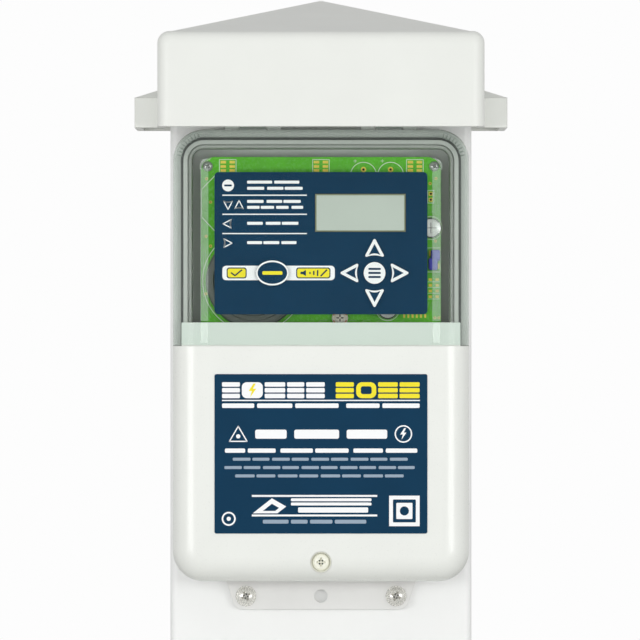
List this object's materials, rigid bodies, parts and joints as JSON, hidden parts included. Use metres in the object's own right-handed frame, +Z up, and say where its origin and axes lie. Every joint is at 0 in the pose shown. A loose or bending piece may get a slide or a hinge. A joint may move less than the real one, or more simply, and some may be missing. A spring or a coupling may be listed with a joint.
{
  "type": "post-mounted power monitor",
  "caption": "Hooded post head with a windowed keypad enclosure: hinged clear window, tilt-out front cover, key pad, display and alarm sounder.",
  "frame": {"origin": "middle of the hollow post's bottom end", "axes": "+Z up along the post, +X to the right, the enclosure faces -Y"},
  "size_m": [0.157, 0.2145, 0.3],
  "materials": {
    "post_vinyl": "satin white vinyl",
    "cap_white": "smooth moulded off-white",
    "cover_white": "smooth moulded white, low gloss",
    "window_clear": "clear polycarbonate with a faint green tint",
    "base_grey": "fine moulded grey",
    "gasket_black": "matt foam rubber",
    "fastener_steel": "plated, slightly worn",
    "ivory_screw": "ivory",
    "bush_cream": "cream",
    "gland_grey": "dark grey nylon",
    "board_green": "green solder mask",
    "panel_navy": "printed navy film",
    "label_navy": "printed navy film",
    "key_white": "white, fine texture",
    "key_navy": "navy with a white line",
    "display_glass": "grey-green reflective liquid crystal",
    "black_plastic": "moulded black",
    "sounder_grey": "dark grey moulded",
    "can_aluminium": "bright drawn can",
    "component_violet": "dipped blue-violet",
    "trimmer_body": "white and copper",
    "relay_blue": "moulded blue",
    "terminal_green": "moulded green",
    "fuse_glass": "clear glass tube",
    "battery_jacket": "printed jacket, no marks"
  },
  "bodies": {
    "housing": {"post": "post_vinyl", "enclosure_base": "base_grey", "base_gasket": "gasket_black", "hinge_pins": "fastener_steel", "tab_washers": "fastener_steel", "tab_screws": "fastener_steel", "upper_screws": "fastener_steel", "board_screws": "fastener_steel", "cable_gland": "gland_grey", "gland_locknut": "gland_grey", "gland_dome_nut": "gland_grey", "gland_seal": "gasket_black", "circuit_board": "board_green", "sounder": "sounder_grey", "can_capacitors": "can_aluminium", "varistor": "component_violet", "trimmer": "trimmer_body", "relay": "relay_blue", "power_module": "black_plastic", "reservoir_capacitor": "black_plastic", "controller_chip": "black_plastic", "link_header": "black_plastic", "terminal_block": "terminal_green", "terminal_screws": "fastener_steel", "fuse": "fuse_glass", "fuse_clips": "fastener_steel", "backup_battery": "battery_jacket", "battery_tray": "black_plastic", "keypad_board": "board_green", "keypad_spacers": "fastener_steel", "key_domes": "fastener_steel", "keypad_panel": "panel_navy", "panel_feet": "black_plastic", "display_module": "black_plastic", "display_glass": "display_glass"},
    "window": {"window_cover": "window_clear"},
    "front_cover": {"lower_cover": "cover_white", "label_plate": "label_navy", "screw_bush": "bush_cream"},
    "captive_screw": {"cover_screw": "ivory_screw", "screw_retainer": "black_plastic"},
    "cap": {"post_cap": "cap_white"},
    "key_up_button": {"key_up": "key_white"},
    "key_right_button": {"key_right": "key_white"},
    "key_down_button": {"key_down": "key_white"},
    "key_left_button": {"key_left": "key_white"},
    "key_menu_button": {"key_menu": "key_white"},
    "key_silence_button": {"key_silence": "key_navy"}
  },
  "joints": [
    {"name": "window_hinge", "type": "hinge", "parent": "housing", "child": "window", "pos_m": [0, -0.0955, 0.2486], "axis": [-1, 0, 0], "range_deg": [0, 52]},
    {"name": "front_cover_tilt", "type": "hinge", "parent": "housing", "child": "front_cover", "pos_m": [0, -0.1135, 0.1541], "axis": [-1, 0, 0], "range_deg": [0, 22]},
    {"name": "cover_screw_turn", "type": "hinge", "parent": "front_cover", "child": "captive_screw", "pos_m": [0, -0.112, 0.0634], "axis": [0, -1, 0], "continuous": true},
    {"name": "cap_lift", "type": "slide", "parent": "housing", "child": "cap", "axis": [0, 0, 1], "range_m": [0, 0.06]},
    {"name": "key_up_press", "type": "slide", "parent": "housing", "child": "key_up_button", "axis": [0, 1, 0], "range_m": [0, 0.0004], "stiffness_N_per_m": 2500},
    {"name": "key_right_press", "type": "slide", "parent": "housing", "child": "key_right_button", "axis": [0, 1, 0], "range_m": [0, 0.0004], "stiffness_N_per_m": 2500},
    {"name": "key_down_press", "type": "slide", "parent": "housing", "child": "key_down_button", "axis": [0, 1, 0], "range_m": [0, 0.0004], "stiffness_N_per_m": 2500},
    {"name": "key_left_press", "type": "slide", "parent": "housing", "child": "key_left_button", "axis": [0, 1, 0], "range_m": [0, 0.0004], "stiffness_N_per_m": 2500},
    {"name": "key_menu_press", "type": "slide", "parent": "housing", "child": "key_menu_button", "axis": [0, 1, 0], "range_m": [0, 0.0004], "stiffness_N_per_m": 2500},
    {"name": "key_silence_press", "type": "slide", "parent": "housing", "child": "key_silence_button", "axis": [0, 1, 0], "range_m": [0, 0.0004], "stiffness_N_per_m": 2500}
  ]
}
